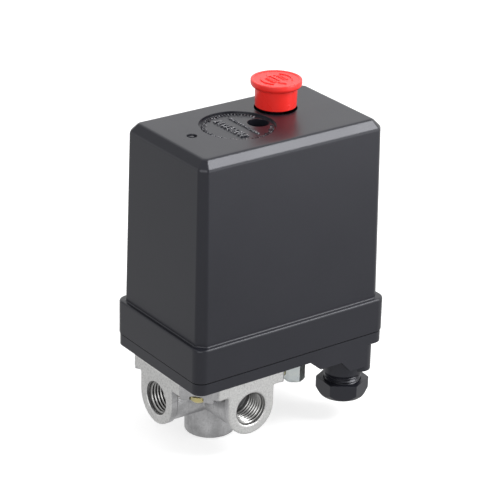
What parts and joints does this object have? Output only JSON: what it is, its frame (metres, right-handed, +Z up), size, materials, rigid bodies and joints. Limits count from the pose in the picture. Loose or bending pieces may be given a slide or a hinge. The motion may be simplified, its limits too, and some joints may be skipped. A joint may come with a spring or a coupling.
{
  "type": "pressure switch",
  "caption": "Air-compressor pressure switch: moulded box with push knob and cable gland on a cast manifold with threaded pipe ports.",
  "frame": {"origin": "centre of the tank port's mouth on the underside of the manifold", "axes": "+Z up, away from the tank; +X along the box towards the cable gland; -Y the face with the front port"},
  "size_m": [0.0878, 0.0571, 0.1339],
  "materials": {
    "cast_aluminium": "as-cast grain, machined port faces",
    "yellow_zinc": "yellow passivated zinc",
    "white_zinc": "bright zinc plate",
    "frame_steel": "zinc-plated sheet",
    "dark_spring": "drawn spring wire",
    "black_plastic": "fine-textured moulding",
    "red_plastic": "semi-gloss moulding",
    "black_rubber": "matt",
    "bakelite": "pressed phenolic",
    "rocker_plastic": "moulded",
    "brass": "stamped strip",
    "silver": "contact alloy",
    "earth_green": "green passivated"
  },
  "bodies": {
    "housing": {"manifold": "cast_aluminium", "manifold_screws": "yellow_zinc", "diaphragm": "black_rubber", "base_tray": "black_plastic", "steel_frame": "frame_steel", "lever_pin": "white_zinc", "rocker_pin": "white_zinc", "pin_clips": "frame_steel", "cover_post": "white_zinc", "adjusting_nut": "white_zinc", "differential_nut": "white_zinc", "terminal_block": "bakelite", "terminal_plates": "brass", "fixed_contacts": "silver", "terminal_screws": "yellow_zinc", "block_screws": "white_zinc", "earth_screw": "earth_green", "valve_body": "white_zinc", "valve_spring": "dark_spring", "rocker_spring": "dark_spring", "differential_spring": "dark_spring", "main_spring": "dark_spring"},
    "piston": {"piston": "frame_steel"},
    "pressure_lever": {"main_lever": "frame_steel", "lower_spring_seat": "frame_steel"},
    "upper_seat": {"upper_spring_seat": "frame_steel"},
    "adjusting_screw": {"adjusting_screw": "white_zinc"},
    "differential_seat": {"differential_seat": "frame_steel"},
    "differential_screw": {"differential_screw": "white_zinc"},
    "contact_rocker": {"rocker": "rocker_plastic", "contact_bridges": "brass", "contact_springs": "dark_spring"},
    "valve_pin": {"valve_pin": "white_zinc", "valve_seal": "black_rubber"},
    "gland_ring": {"gland_seal": "black_rubber"},
    "gland_nut": {"gland_nut": "black_plastic"},
    "cover": {"cover": "black_plastic"},
    "cover_screw": {"cover_screw": "white_zinc"},
    "knob": {"knob": "red_plastic", "knob_spindle": "black_plastic"}
  },
  "joints": [
    {"name": "lever_tilt", "type": "hinge", "parent": "housing", "child": "pressure_lever", "pos_m": [-0.015, 0, 0.0455], "axis": [0, -1, 0], "range_deg": [0, 2]},
    {"name": "piston_lift", "type": "slide", "parent": "housing", "child": "piston", "axis": [0, 0, 1], "range_m": [0, 0.0005]},
    {"name": "upper_seat_travel", "type": "slide", "parent": "housing", "child": "upper_seat", "axis": [0, 0, 1], "range_m": [-0.002, 0.002], "deforming": ["main_spring"]},
    {"name": "adjusting_turn", "type": "hinge", "parent": "upper_seat", "child": "adjusting_screw", "pos_m": [0, 0, 0.09], "axis": [0, 0, 1], "range_deg": [-720, 720]},
    {"name": "differential_seat_travel", "type": "slide", "parent": "housing", "child": "differential_seat", "axis": [0, 0, 1], "range_m": [-0.0014, 0.0014], "deforming": ["differential_spring"]},
    {"name": "differential_turn", "type": "hinge", "parent": "differential_seat", "child": "differential_screw", "pos_m": [0.0138, 0, 0.06], "axis": [0, 0, 1], "range_deg": [-720, 720]},
    {"name": "knob_push", "type": "slide", "parent": "cover", "child": "knob", "axis": [0, 0, -1], "range_m": [0, 0.005]},
    {"name": "rocker_tilt", "type": "hinge", "parent": "housing", "child": "contact_rocker", "pos_m": [0.022, 0, 0.052], "axis": [0, 1, 0], "range_deg": [0, 23.95], "deforming": ["rocker_spring"]},
    {"name": "valve_push", "type": "slide", "parent": "housing", "child": "valve_pin", "axis": [0, 0, -1], "range_m": [0, 0.0047], "deforming": ["valve_spring"]},
    {"name": "gland_ring_travel", "type": "slide", "parent": "housing", "child": "gland_ring", "axis": [0, 0, -1], "range_m": [0, 0.0045]},
    {"name": "gland_nut_turn", "type": "hinge", "parent": "gland_ring", "child": "gland_nut", "pos_m": [0.0497, -0.01875, 0.012], "axis": [0, 0, -1], "range_deg": [0, 1080]},
    {"name": "cover_lift", "type": "slide", "parent": "housing", "child": "cover", "axis": [0, 0, 1], "range_m": [0, 0.095]},
    {"name": "cover_screw_turn", "type": "hinge", "parent": "cover", "child": "cover_screw", "pos_m": [0.01955, 0, 0.1], "axis": [0, 0, 1], "range_deg": [-720, 720]}
  ],
  "couplings": [
    {"joint": "piston_lift", "follows": "lever_tilt", "m_per_rad": 0.0136},
    {"joint": "adjusting_turn", "follows": "upper_seat_travel", "rad_per_m": 6283.1},
    {"joint": "differential_turn", "follows": "differential_seat_travel", "rad_per_m": 8975.9},
    {"joint": "rocker_tilt", "follows": "knob_push", "rad_per_m": 83.43},
    {"joint": "valve_push", "follows": "knob_push", "ratio": 0.92},
    {"joint": "gland_nut_turn", "follows": "gland_ring_travel", "rad_per_m": 4188.7}
  ]
}
